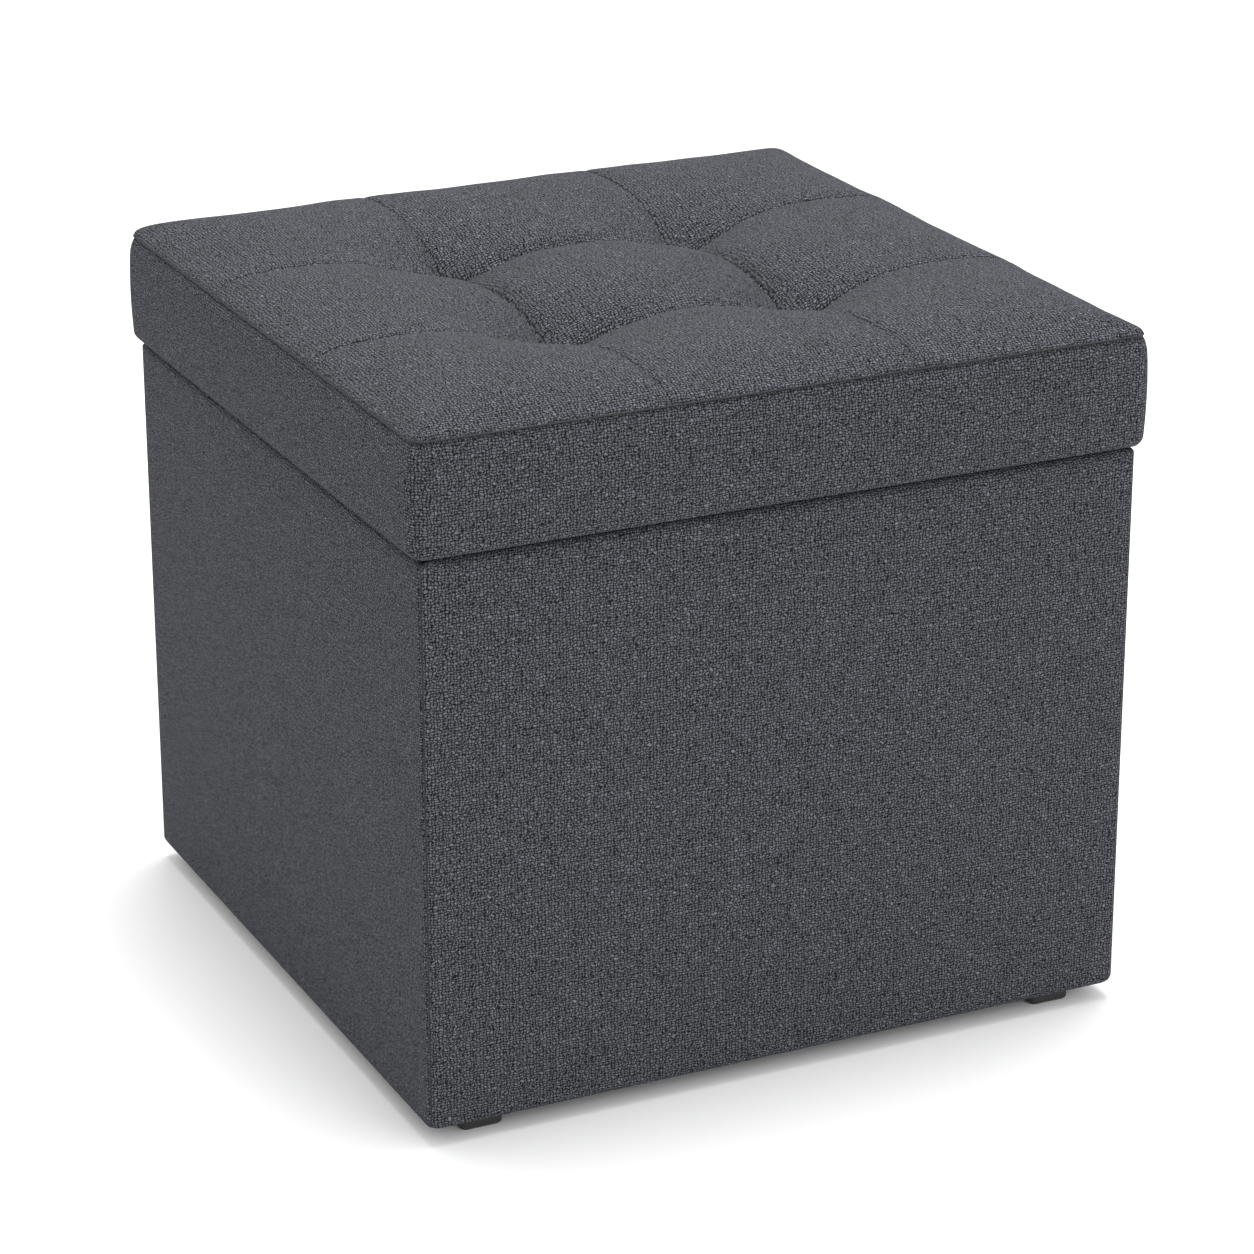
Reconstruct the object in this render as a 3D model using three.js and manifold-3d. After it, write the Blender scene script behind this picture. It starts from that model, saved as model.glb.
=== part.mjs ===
// Storage ottoman: a fabric-covered board box with a lift-off padded lid.
// Millimetres, +Z up. The origin is on the floor under the middle; the front faces -Y.
import * as THREE from "three";
import { mergeVertices } from "three/addons/utils/BufferGeometryUtils.js";
import Module from "manifold-3d";

const wasm = await Module();
wasm.setup();

// ---- box, measured over its fabric ----
const BASE_WIDTH = 389;
const BASE_DEPTH = 389;
const BASE_HEIGHT = 296;

// ---- lid, measured over its fabric ----
const LID_OVERHANG = 4.5;
const LID_BORDER = 58;
const LID_CORNER_RADIUS = 9;
const CROWN = 9;

// ---- sheet and board thicknesses ----
const COVER = 2;
const LINING = 1;
const CLOTH = 0.7;
const WALL = 12;
const FLOOR = 12;
const LID_BOARD = 12;

// ---- clearances ----
const GAP = 0.3;
const RAIL_CLEARANCE = 4;
const CORD_HOLE_CLEARANCE = 2;

// ---- how far fabric is turned over an edge ----
const RIM_FLAP = 40;
const TURN_UNDER = 28;
const LID_TURN_UNDER = 22;
const CLOTH_INSET = 9;

// ---- roundings of the box cover and its lining ----
const RIM_RADIUS = 5;
const RIM_INNER_RADIUS = 4;
const HEM_RADIUS = 4;
const LINING_RADIUS = 3;

// ---- feet ----
const FOOT_HEIGHT = 7;
const FOOT_WIDTH = 23;
const FOOT_RADIUS = 4;
const FOOT_CHAMFER = 1;
const FOOT_SIDE_INSET = 21;
const FOOT_FRONT_INSET = 10;
const FOOT_SCREW_RECESS = 1.5;

// ---- rails that keep the lid centred on the box ----
const RAIL_WIDTH = 20;
const RAIL_HEIGHT = 15;
const RAIL_CORNER_SPACE = 45;
const RAIL_SCREW_INSET = 30;
const RAIL_SCREW_BITE = 9;

// ---- tufts ----
const TUFT_SPACING_X = 133;
const TUFT_SPACING_Y = 133;
const TUFT_DEPTH = 26;
const TUFT_SPREAD = 30;
const CORD_RADIUS = 1;
const WASHER_RADIUS = 9;
const WASHER = 1.6;

// ---- countersunk wood screws ----
const SCREW_RADIUS = 1.6;
const HEAD_RADIUS = 3.4;
const HEAD_HEIGHT = 2.4;
const POINT_LENGTH = 4;
const FRAME_SCREW_LENGTH = 35;
const FOOT_SCREW_LENGTH = 16;
const CORNER_SCREW_INSET = 45;
const FLOOR_SCREW_SPACING = 190;

// ---- how finely curves are cut ----
const ARC_STEPS = 3;
const ROUND_SIDES = 10;
const CUSHION_CELL = 20;

// ---- levels, from the floor up ----
const DUST_CLOTH_Z = FOOT_HEIGHT + GAP;
const HEM_Z = DUST_CLOTH_Z + CLOTH + GAP;
const FLOOR_Z = HEM_Z + COVER + GAP;
const WALL_Z = FLOOR_Z + FLOOR + GAP;
const LINING_FLOOR_Z = WALL_Z;
const RIM_Z = HEM_Z + BASE_HEIGHT;
const WALL_TOP = RIM_Z - COVER - GAP;
const UNDER_CLOTH_Z = RIM_Z + GAP;
const LID_Z = UNDER_CLOTH_Z + CLOTH + GAP;
const LID_BOARD_Z = LID_Z + COVER + GAP;
const FOAM_Z = LID_BOARD_Z + LID_BOARD + GAP;
const SEAM_Z = LID_Z + LID_BORDER;
const RAIL_TOP = RIM_Z;
const RAIL_Z = RAIL_TOP - RAIL_HEIGHT;

// ---- distances in from the outer faces of the box ----
const WALL_INSET = COVER + GAP;
const WALL_INNER = WALL_INSET + WALL;
const LINING_INSET = WALL_INNER + GAP;
const RIM_THICKNESS = LINING_INSET + COVER;
const RAIL_INSET = RIM_THICKNESS + RAIL_CLEARANCE;

const LID_WIDTH = BASE_WIDTH + 2 * LID_OVERHANG;
const LID_DEPTH = BASE_DEPTH + 2 * LID_OVERHANG;

// ---- finishes ----
const FINISHES = {
  fabric: { color: 0x4b4d52, roughness: 0.92, metalness: 0 },
  nonwoven: { color: 0x1b1b1d, roughness: 0.85, metalness: 0 },
  board: { color: 0xa98d68, roughness: 0.8, metalness: 0 },
  pine: { color: 0xcfae7c, roughness: 0.7, metalness: 0 },
  foam: { color: 0xe8e2c8, roughness: 0.95, metalness: 0 },
  plastic: { color: 0x141415, roughness: 0.45, metalness: 0 },
  zinc: { color: 0xb9bcc0, roughness: 0.35, metalness: 1 },
  twine: { color: 0xd8d2c2, roughness: 0.9, metalness: 0 },
};

const ottoman = new THREE.Group();

function addPart(name, geometry, finish, turn = 0) {
  const mesh = new THREE.Mesh(geometry, new THREE.MeshStandardMaterial(FINISHES[finish]));
  mesh.name = name;
  mesh.rotation.z = turn;
  ottoman.add(mesh);
}

// ---- solids ----

// A closed mesh with shared vertices, ready for joining and cutting.
function solid(geometry) {
  const bare = geometry.clone();
  bare.deleteAttribute("normal");
  bare.deleteAttribute("uv");
  const merged = mergeVertices(bare, 1e-4);
  const corners = merged.index.array;
  const kept = [];
  for (let i = 0; i < corners.length; i += 3) {
    const [a, b, c] = corners.slice(i, i + 3);
    if (a !== b && b !== c && c !== a) kept.push(a, b, c);
  }
  const vertProperties = merged.attributes.position.array;
  const mesh = new wasm.Mesh({ numProp: 3, vertProperties, triVerts: Uint32Array.from(kept) });
  return new wasm.Manifold(mesh);
}

function geometryOf(body) {
  const mesh = body.getMesh();
  const geometry = new THREE.BufferGeometry();
  geometry.setAttribute("position", new THREE.BufferAttribute(mesh.vertProperties, 3));
  geometry.setIndex(new THREE.BufferAttribute(mesh.triVerts, 1));
  geometry.computeVertexNormals();
  return geometry;
}

function cut(geometry, cutters) {
  const left = cutters.reduce((body, cutter) => body.subtract(solid(cutter)), solid(geometry));
  return geometryOf(left);
}

function box(x, y, z) {
  const geometry = new THREE.BoxGeometry(x[1] - x[0], y[1] - y[0], z[1] - z[0]);
  return geometry.translate((x[0] + x[1]) / 2, (y[0] + y[1]) / 2, (z[0] + z[1]) / 2);
}

function roundedRectangle(width, depth, radius) {
  const x = width / 2 - radius;
  const y = depth / 2 - radius;
  const shape = new THREE.Shape();
  shape.absarc(x, -y, radius, -Math.PI / 2, 0);
  shape.absarc(x, y, radius, 0, Math.PI / 2);
  shape.absarc(-x, y, radius, Math.PI / 2, Math.PI);
  shape.absarc(-x, -y, radius, Math.PI, 1.5 * Math.PI);
  shape.closePath();
  return shape;
}

function roundHole(x, y, radius) {
  return new THREE.Path().absarc(x, y, radius, 0, 2 * Math.PI, true);
}

function prism(shape, z0, z1) {
  const options = { depth: z1 - z0, bevelEnabled: false, curveSegments: ARC_STEPS };
  return new THREE.ExtrudeGeometry(shape, options).translate(0, 0, z0);
}

function cylinder(radius, z0, z1, sides = ROUND_SIDES) {
  const geometry = new THREE.CylinderGeometry(radius, radius, z1 - z0, sides);
  return geometry.rotateX(Math.PI / 2).translate(0, 0, (z0 + z1) / 2);
}

// ---- screws: the head's flat is at the local origin and the point is up +Z ----

function screw(length, grow = 0, lead = 0) {
  const profile = [
    [0, -lead - grow],
    [HEAD_RADIUS + grow, -lead - grow],
    [HEAD_RADIUS + grow, 0],
    [SCREW_RADIUS + grow, HEAD_HEIGHT],
    [SCREW_RADIUS + grow, length - POINT_LENGTH + grow],
    [0, length + grow],
  ];
  const outline = profile.map(([r, z]) => new THREE.Vector2(r, z));
  return geometryOf(solid(new THREE.LatheGeometry(outline, ROUND_SIDES).rotateX(Math.PI / 2)));
}

function screwHole(length, lead = 0) {
  return screw(length, GAP, lead);
}

// Turns a screw, or its hole, from up +Z to along +Y and puts its head at a place.
function alongY(geometry, x, y, z) {
  return geometry.rotateX(-Math.PI / 2).translate(x, y, z);
}

const SIDES = { left: -1, right: 1 };
const ENDS = { front: -1, back: 1 };
const CORNERS = Object.entries(ENDS).flatMap(([end, sy]) =>
  Object.entries(SIDES).map(([side, sx]) => ({ name: `${end}_${side}`, sx, sy })));

// ---- feet: square glides screwed up through the bottom ----

const FOOT_X = BASE_WIDTH / 2 - FOOT_SIDE_INSET - FOOT_WIDTH / 2;
const FOOT_Y = BASE_DEPTH / 2 - FOOT_FRONT_INSET - FOOT_WIDTH / 2;

function foot() {
  const flat = FOOT_WIDTH - 2 * FOOT_CHAMFER;
  const options = {
    depth: FOOT_HEIGHT - 2 * FOOT_CHAMFER,
    bevelSize: FOOT_CHAMFER,
    bevelThickness: FOOT_CHAMFER,
    bevelSegments: 1,
    curveSegments: 2,
  };
  const shape = roundedRectangle(flat, flat, FOOT_RADIUS - FOOT_CHAMFER);
  const block = new THREE.ExtrudeGeometry(shape, options).translate(0, 0, FOOT_CHAMFER);
  const hole = screwHole(FOOT_SCREW_LENGTH, FOOT_SCREW_RECESS);
  return cut(block, [hole.translate(0, 0, FOOT_SCREW_RECESS)]);
}

function footScrewHoles(corners) {
  return corners.map(({ sx, sy }) =>
    screwHole(FOOT_SCREW_LENGTH).translate(sx * FOOT_X, sy * FOOT_Y, FOOT_SCREW_RECESS));
}

for (const { name, sx, sy } of CORNERS) {
  addPart(`foot_${name}`, foot().translate(sx * FOOT_X, sy * FOOT_Y, 0), "plastic");
  const place = [sx * FOOT_X, sy * FOOT_Y, FOOT_SCREW_RECESS];
  addPart(`foot_screw_${name}`, screw(FOOT_SCREW_LENGTH).translate(...place), "zinc");
}

// ---- screws that hold the walls together and to the floor board ----

const CORNER_SCREW_X = BASE_WIDTH / 2 - WALL_INSET - WALL / 2;
const CORNER_SCREW_LEVELS = { low: WALL_Z + CORNER_SCREW_INSET, high: WALL_TOP - CORNER_SCREW_INSET };

// Where the front wall's corner screws go; the back wall is the same, turned round.
function cornerScrewPlaces() {
  return Object.entries(CORNER_SCREW_LEVELS).flatMap(([level, z]) =>
    Object.values(SIDES).map((sx) => ({ level, place: [sx * CORNER_SCREW_X, -BASE_DEPTH / 2 + WALL_INSET, z] })));
}

const FLOOR_SCREWS = [
  { name: "front_left", x: -FLOOR_SCREW_SPACING / 2, y: -BASE_DEPTH / 2 + WALL_INSET + WALL / 2 },
  { name: "front_right", x: FLOOR_SCREW_SPACING / 2, y: -BASE_DEPTH / 2 + WALL_INSET + WALL / 2 },
  { name: "back_left", x: -FLOOR_SCREW_SPACING / 2, y: BASE_DEPTH / 2 - WALL_INSET - WALL / 2 },
  { name: "back_right", x: FLOOR_SCREW_SPACING / 2, y: BASE_DEPTH / 2 - WALL_INSET - WALL / 2 },
  { name: "left", x: -CORNER_SCREW_X, y: 0 },
  { name: "right", x: CORNER_SCREW_X, y: 0 },
];

const cornerHoles = cornerScrewPlaces().map(({ place }) => alongY(screwHole(FRAME_SCREW_LENGTH), ...place));
const floorHoles = FLOOR_SCREWS.map(({ x, y }) => screwHole(FRAME_SCREW_LENGTH).translate(x, y, FLOOR_Z));

for (const { name, x, y } of FLOOR_SCREWS) {
  addPart(`floor_screw_${name}`, screw(FRAME_SCREW_LENGTH).translate(x, y, FLOOR_Z), "zinc");
}

for (const [end, turn] of [["front", 0], ["back", Math.PI]]) {
  for (const { level, place } of cornerScrewPlaces()) {
    const side = (place[0] < 0) === (end === "front") ? "left" : "right";
    const name = `corner_screw_${end}_${side}_${level}`;
    addPart(name, alongY(screw(FRAME_SCREW_LENGTH), ...place), "zinc", turn);
  }
}

// ---- board box ----

const inWidth = BASE_WIDTH / 2 - WALL_INSET;
const inDepth = BASE_DEPTH / 2 - WALL_INSET;

function floorBoard() {
  const board = box([-inWidth, inWidth], [-inDepth, inDepth], [FLOOR_Z, FLOOR_Z + FLOOR]);
  return cut(board, [...floorHoles, ...footScrewHoles(CORNERS)]);
}

function frontWall() {
  const board = box([-inWidth, inWidth], [-inDepth, -inDepth + WALL], [WALL_Z, WALL_TOP]);
  return cut(board, [...cornerHoles, ...floorHoles]);
}

// The right wall, between the front and the back wall; screws enter both its ends.
function rightWall() {
  const end = inDepth - WALL - GAP;
  const board = box([inWidth - WALL, inWidth], [-end, end], [WALL_Z, WALL_TOP]);
  const backHoles = cornerHoles.map((hole) => hole.clone().rotateZ(Math.PI));
  return cut(board, [...cornerHoles, ...backHoles, ...floorHoles]);
}

addPart("floor_board", floorBoard(), "board");
addPart("wall_front", frontWall(), "board");
addPart("wall_back", frontWall(), "board", Math.PI);
addPart("wall_right", rightWall(), "board");
addPart("wall_left", rightWall(), "board", Math.PI);

// ---- box cover: one strip a side, mitred where the corner seams are ----

// Section of a strip: x is the distance in from the outer face and y is the height.
function coverSection() {
  const shape = new THREE.Shape();
  shape.moveTo(TURN_UNDER, HEM_Z);
  shape.lineTo(TURN_UNDER, HEM_Z + COVER);
  shape.lineTo(COVER, HEM_Z + COVER);
  shape.lineTo(COVER, RIM_Z - COVER);
  shape.lineTo(RIM_THICKNESS - COVER, RIM_Z - COVER);
  shape.lineTo(RIM_THICKNESS - COVER, RIM_Z - RIM_FLAP);
  shape.lineTo(RIM_THICKNESS, RIM_Z - RIM_FLAP);
  shape.absarc(RIM_THICKNESS - RIM_INNER_RADIUS, RIM_Z - RIM_INNER_RADIUS, RIM_INNER_RADIUS, 0, Math.PI / 2);
  shape.absarc(RIM_RADIUS, RIM_Z - RIM_RADIUS, RIM_RADIUS, Math.PI / 2, Math.PI);
  shape.absarc(HEM_RADIUS, HEM_Z + HEM_RADIUS, HEM_RADIUS, Math.PI, 1.5 * Math.PI);
  shape.closePath();
  return shape;
}

// A strip along the front, its ends cut at 45 degrees so that four of them make a frame.
function mitredStrip(section, halfLength, halfAcross) {
  const geometry = new THREE.ExtrudeGeometry(section, { depth: 1, bevelEnabled: false, curveSegments: ARC_STEPS });
  const points = geometry.attributes.position;
  for (let i = 0; i < points.count; i += 1) {
    const inset = points.getX(i);
    const end = points.getZ(i) > 0.5 ? 1 : -1;
    const along = end * (halfLength - inset - GAP / Math.SQRT2);
    points.setXYZ(i, along, inset - halfAcross, points.getY(i));
  }
  return geometry;
}

const frontCorners = CORNERS.filter(({ sy }) => sy < 0);
const frontCover = cut(mitredStrip(coverSection(), BASE_WIDTH / 2, BASE_DEPTH / 2), footScrewHoles(frontCorners));
const rightCover = geometryOf(solid(mitredStrip(coverSection(), BASE_DEPTH / 2, BASE_WIDTH / 2)));

addPart("cover_front", frontCover, "fabric");
addPart("cover_right", rightCover, "fabric", Math.PI / 2);
addPart("cover_back", frontCover, "fabric", Math.PI);
addPart("cover_left", rightCover, "fabric", -Math.PI / 2);

// ---- lining of the storage space, and the cloth under the box ----

function liningWalls() {
  const outer = roundedRectangle(BASE_WIDTH - 2 * LINING_INSET, BASE_DEPTH - 2 * LINING_INSET, LINING_RADIUS);
  const inner = LINING_INSET + LINING;
  const hole = roundedRectangle(BASE_WIDTH - 2 * inner, BASE_DEPTH - 2 * inner, LINING_RADIUS - LINING);
  outer.holes.push(hole);
  return prism(outer, LINING_FLOOR_Z + LINING + GAP, RIM_Z - RIM_FLAP - GAP);
}

function liningFloor() {
  const shape = roundedRectangle(BASE_WIDTH - 2 * LINING_INSET, BASE_DEPTH - 2 * LINING_INSET, LINING_RADIUS);
  return prism(shape, LINING_FLOOR_Z, LINING_FLOOR_Z + LINING);
}

function dustCloth() {
  const shape = roundedRectangle(BASE_WIDTH - 2 * CLOTH_INSET, BASE_DEPTH - 2 * CLOTH_INSET, LINING_RADIUS);
  for (const { sx, sy } of CORNERS) {
    shape.holes.push(roundHole(sx * FOOT_X, sy * FOOT_Y, SCREW_RADIUS + GAP));
  }
  return prism(shape, DUST_CLOTH_Z, DUST_CLOTH_Z + CLOTH);
}

addPart("lining_walls", liningWalls(), "nonwoven");
addPart("lining_floor", liningFloor(), "nonwoven");
addPart("dust_cloth", dustCloth(), "nonwoven");

// ---- locating rails and their screws: each is drawn along the front or the right side ----

const RAIL_SCREW_LENGTH = LID_BOARD_Z + RAIL_SCREW_BITE - RAIL_Z;

function railOf(halfLength, halfAcross) {
  const end = halfLength - RAIL_INSET - RAIL_CORNER_SPACE;
  const outer = halfAcross - RAIL_INSET;
  return { end, outer, screwX: end - RAIL_SCREW_INSET, screwY: outer - RAIL_WIDTH / 2 };
}

function railHoles({ screwX, screwY }) {
  return Object.values(SIDES).map((sx) => screwHole(RAIL_SCREW_LENGTH).translate(sx * screwX, -screwY, RAIL_Z));
}

const frontRail = railOf(BASE_WIDTH / 2, BASE_DEPTH / 2);
const sideRail = railOf(BASE_DEPTH / 2, BASE_WIDTH / 2);
const RAILS = [
  { name: "front", rail: frontRail, turn: 0, ends: ["left", "right"] },
  { name: "right", rail: sideRail, turn: Math.PI / 2, ends: ["front", "back"] },
  { name: "back", rail: frontRail, turn: Math.PI, ends: ["right", "left"] },
  { name: "left", rail: sideRail, turn: -Math.PI / 2, ends: ["back", "front"] },
];

for (const { name, rail, turn, ends } of RAILS) {
  const bar = box([-rail.end, rail.end], [-rail.outer, -rail.outer + RAIL_WIDTH], [RAIL_Z, RAIL_TOP]);
  addPart(`locating_rail_${name}`, cut(bar, railHoles(rail)), "pine", turn);
  ends.forEach((end, i) => {
    const x = (i === 0 ? -1 : 1) * rail.screwX;
    const geometry = screw(RAIL_SCREW_LENGTH).translate(x, -rail.screwY, RAIL_Z);
    addPart(`rail_screw_${name}_${end}`, geometry, "zinc", turn);
  });
}

function allRailHoles() {
  return RAILS.flatMap(({ rail, turn }) => railHoles(rail).map((hole) => hole.rotateZ(turn)));
}

// ---- lid: under cloth, board, side band ----

const TUFTS = CORNERS.map(({ name, sx, sy }) => ({ name, x: (sx * TUFT_SPACING_X) / 2, y: (sy * TUFT_SPACING_Y) / 2 }));

function lidShape(inset) {
  return roundedRectangle(LID_WIDTH - 2 * inset, LID_DEPTH - 2 * inset, LID_CORNER_RADIUS - inset);
}

function underCloth() {
  const inset = LID_OVERHANG + CLOTH_INSET / 2;
  const shape = roundedRectangle(LID_WIDTH - 2 * inset, LID_DEPTH - 2 * inset, LINING_RADIUS);
  return cut(prism(shape, UNDER_CLOTH_Z, UNDER_CLOTH_Z + CLOTH), allRailHoles());
}

function lidBoard() {
  const board = prism(lidShape(COVER + GAP), LID_BOARD_Z, LID_BOARD_Z + LID_BOARD);
  const radius = CORD_RADIUS + CORD_HOLE_CLEARANCE;
  const cordHoles = TUFTS.map(({ x, y }) => cylinder(radius, LID_Z, SEAM_Z).translate(x, y, 0));
  return cut(board, [...allRailHoles(), ...cordHoles]);
}

function sideBand() {
  const outer = prism(lidShape(0), LID_Z, SEAM_Z);
  const inner = prism(lidShape(COVER), LID_Z + COVER, SEAM_Z + COVER);
  const inset = LID_TURN_UNDER;
  const opening = roundedRectangle(LID_WIDTH - 2 * inset, LID_DEPTH - 2 * inset, LID_CORNER_RADIUS);
  return cut(outer, [inner, prism(opening, LID_Z - COVER, SEAM_Z)]);
}

addPart("lid_under_cloth", underCloth(), "nonwoven");
addPart("lid_board", lidBoard(), "board");
addPart("seat_side_band", sideBand(), "fabric");

// ---- cushion: foam and top cover share one crowned, dimpled surface ----

// Height of the top cover's outer face over a place on the lid.
function seatHeight(x, y) {
  const u = (2 * x) / LID_WIDTH;
  const v = (2 * y) / LID_DEPTH;
  const swell = CROWN * (1 - u ** 6) * (1 - v ** 6);
  const dip = TUFTS.reduce((sum, tuft) => {
    const away = Math.hypot(x - tuft.x, y - tuft.y) / TUFT_SPREAD;
    return sum + TUFT_DEPTH * Math.exp(-away * away);
  }, 0);
  return SEAM_Z + GAP + COVER + swell - dip;
}

// Everything between a level and the surface that lies some depth under the cover's outer face.
function cushionBlock(depth, level) {
  const columns = Math.ceil(LID_WIDTH / CUSHION_CELL);
  const rows = Math.ceil(LID_DEPTH / CUSHION_CELL);
  const geometry = new THREE.BoxGeometry(LID_WIDTH, LID_DEPTH, 1, columns, rows, 1);
  const points = geometry.attributes.position;
  for (let i = 0; i < points.count; i += 1) {
    const height = seatHeight(points.getX(i), points.getY(i)) - depth;
    points.setZ(i, points.getZ(i) > 0 ? height : level);
  }
  return geometry;
}

function foam() {
  const outline = prism(lidShape(COVER + GAP), LID_BOARD_Z, SEAM_Z + LID_BORDER);
  const block = solid(cushionBlock(COVER + GAP, FOAM_Z)).intersect(solid(outline));
  const holes = TUFTS.map(({ x, y }) => cylinder(CORD_RADIUS + GAP, LID_BOARD_Z, SEAM_Z + CROWN).translate(x, y, 0));
  return cut(geometryOf(block), holes);
}

function topCover() {
  const outline = prism(lidShape(0), LID_BOARD_Z, SEAM_Z + LID_BORDER);
  const block = solid(cushionBlock(0, FOAM_Z)).intersect(solid(outline));
  return cut(geometryOf(block), [cushionBlock(COVER, LID_BOARD_Z)]);
}

addPart("seat_foam", foam(), "foam");
addPart("seat_top_cover", topCover(), "fabric");

// ---- tuft cords, pulled down through the board to washers under it ----

const WASHER_Z = LID_BOARD_Z - GAP - WASHER;

for (const { name, x, y } of TUFTS) {
  const cordTop = seatHeight(x, y) - COVER - GAP;
  addPart(`tuft_cord_${name}`, cylinder(CORD_RADIUS, WASHER_Z, cordTop, 8).translate(x, y, 0), "twine");
  const disc = cylinder(WASHER_RADIUS, WASHER_Z, WASHER_Z + WASHER, 2 * ROUND_SIDES);
  const hole = cylinder(CORD_RADIUS + GAP, WASHER_Z - 1, WASHER_Z + WASHER + 1);
  addPart(`tuft_washer_${name}`, cut(disc, [hole]).translate(x, y, 0), "plastic");
}

export default ottoman;
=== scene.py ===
# %% [markdown]
# # A tufted storage ottoman
# The ottoman is a board box covered in a slate-grey linen-look weave, with a padded lid that lifts off.
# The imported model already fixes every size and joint. This lesson dresses it: sewn covers, a tufted
# cushion, lining, glides and screws, each in its own cell, all in metres and in the model's own frame.

# %% Load the frame
import math

import bmesh
import bpy
import numpy as np
from mathutils import Matrix, Vector, noise


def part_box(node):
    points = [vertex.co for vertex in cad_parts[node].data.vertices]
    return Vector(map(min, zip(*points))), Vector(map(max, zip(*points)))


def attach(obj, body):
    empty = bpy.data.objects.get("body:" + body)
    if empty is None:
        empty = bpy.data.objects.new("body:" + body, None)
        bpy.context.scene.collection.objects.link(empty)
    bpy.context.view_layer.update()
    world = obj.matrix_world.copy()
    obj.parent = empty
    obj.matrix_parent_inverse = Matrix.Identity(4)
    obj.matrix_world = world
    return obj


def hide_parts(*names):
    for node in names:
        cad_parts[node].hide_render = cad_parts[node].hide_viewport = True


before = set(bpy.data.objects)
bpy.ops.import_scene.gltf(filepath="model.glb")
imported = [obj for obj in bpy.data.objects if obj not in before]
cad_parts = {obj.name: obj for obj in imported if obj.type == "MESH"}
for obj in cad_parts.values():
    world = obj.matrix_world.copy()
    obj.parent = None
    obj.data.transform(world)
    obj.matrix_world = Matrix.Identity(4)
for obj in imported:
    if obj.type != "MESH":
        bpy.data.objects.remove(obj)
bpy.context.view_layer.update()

MM = 0.001

# %% [markdown]
# ## Sizes
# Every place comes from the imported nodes, so the looks follow the model if its sizes change. The box's
# outer faces are those of its four cover strips, and the lid's are those of its side band.

# %% Sizes from the frame
box_low = Vector((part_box("cover_left")[0].x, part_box("cover_front")[0].y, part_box("cover_front")[0].z))
box_high = Vector((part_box("cover_right")[1].x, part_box("cover_back")[1].y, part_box("cover_front")[1].z))
lid_low, lid_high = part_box("seat_side_band")
HALF_X, HALF_Y = box_high.x, box_high.y
HEM_Z, RIM_Z = box_low.z, box_high.z
LID_X, LID_Y = lid_high.x, lid_high.y
LID_Z, SEAM_Z = lid_low.z, lid_high.z
print("box half sizes in mm:", round(HALF_X / MM, 1), round(HALF_Y / MM, 1))
print("lid half sizes in mm:", round(LID_X / MM, 1), round(LID_Y / MM, 1))

# %% [markdown]
# ## Camera
# A short lens would make the upright edges lean together. A long one, from further off, keeps them
# nearly parallel, so the box reads as square. The camera stands in front and to the left, above the lid,
# and looks down at 21 degrees.

# %% Camera
LENS = 120.04
HEADING = 25.382
LOOK_DOWN = 21.043
TILT = -0.0645
CAMERA_PLACE = (-0.8845, -1.8736, 0.9706)

camera = bpy.data.objects.new("camera", bpy.data.cameras.new("camera"))
camera.data.lens = LENS
camera.location = CAMERA_PLACE
turn = Matrix.Rotation(math.radians(-HEADING), 4, "Z") @ Matrix.Rotation(math.radians(90 - LOOK_DOWN), 4, "X")
camera.rotation_euler = (turn @ Matrix.Rotation(math.radians(TILT), 4, "Z")).to_euler()
bpy.context.scene.collection.objects.link(camera)
bpy.context.scene.camera = camera
print("camera stands", round(Vector(CAMERA_PLACE).length, 2), "m from the origin")

# %% [markdown]
# ## Shader arithmetic
# A weave is a sum: thread index, roundness across a thread, which thread is on top. Wiring Math nodes by
# hand hides that sum, so one small class wraps a socket and turns Python operators into Math nodes. Any
# other node comes from its `node` method.

# %% A socket that does arithmetic
class Wire:
    """A shader socket in Python arithmetic. Each operator adds one Math node to its tree."""

    def __init__(self, tree, socket=None):
        self.tree = tree
        self.socket = socket

    def node(self, kind, settings=None, inputs=None, output=0):
        """Adds a node: its settings first, then the values or links of its sockets."""
        made = self.tree.nodes.new(kind)
        for key, value in (settings or {}).items():
            setattr(made, key, value)
        for key, value in (inputs or {}).items():
            if isinstance(value, Wire):
                self.tree.links.new(value.socket, made.inputs[key])
            else:
                made.inputs[key].default_value = value
        return Wire(self.tree, made.outputs[output])

    def math(self, operation, *values):
        return self.node("ShaderNodeMath", {"operation": operation}, dict(enumerate(values)))

    def __add__(self, other):
        return self.math("ADD", self, other)

    def __radd__(self, other):
        return self.math("ADD", other, self)

    def __sub__(self, other):
        return self.math("SUBTRACT", self, other)

    def __rsub__(self, other):
        return self.math("SUBTRACT", other, self)

    def __mul__(self, other):
        return self.math("MULTIPLY", self, other)

    def __rmul__(self, other):
        return self.math("MULTIPLY", other, self)

    def __truediv__(self, other):
        return self.math("DIVIDE", self, other)

    def __pow__(self, other):
        return self.math("POWER", self, other)


# %% Small helpers for finishes
def grey(value):
    return (value, value, value, 1.0)


def noise_of(wire, where, scale, detail=2.0, roughness=0.5):
    """Noise from 0 to 1, about even in the middle."""
    inputs = {"Vector": where, "Scale": scale, "Detail": detail, "Roughness": roughness}
    return wire.node("ShaderNodeTexNoise", {}, inputs, "Fac")


def at(wire, x, y, z=0.0):
    return wire.node("ShaderNodeCombineXYZ", {}, {0: x, 1: y, 2: z})


def blend_colours(wire, share, first, second):
    """Mixes two colours. 6, 7 and 2 are the Mix node's sockets for colours."""
    settings = {"data_type": "RGBA"}
    return wire.node("ShaderNodeMix", settings, {0: share, 6: first, 7: second}, 2)


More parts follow.
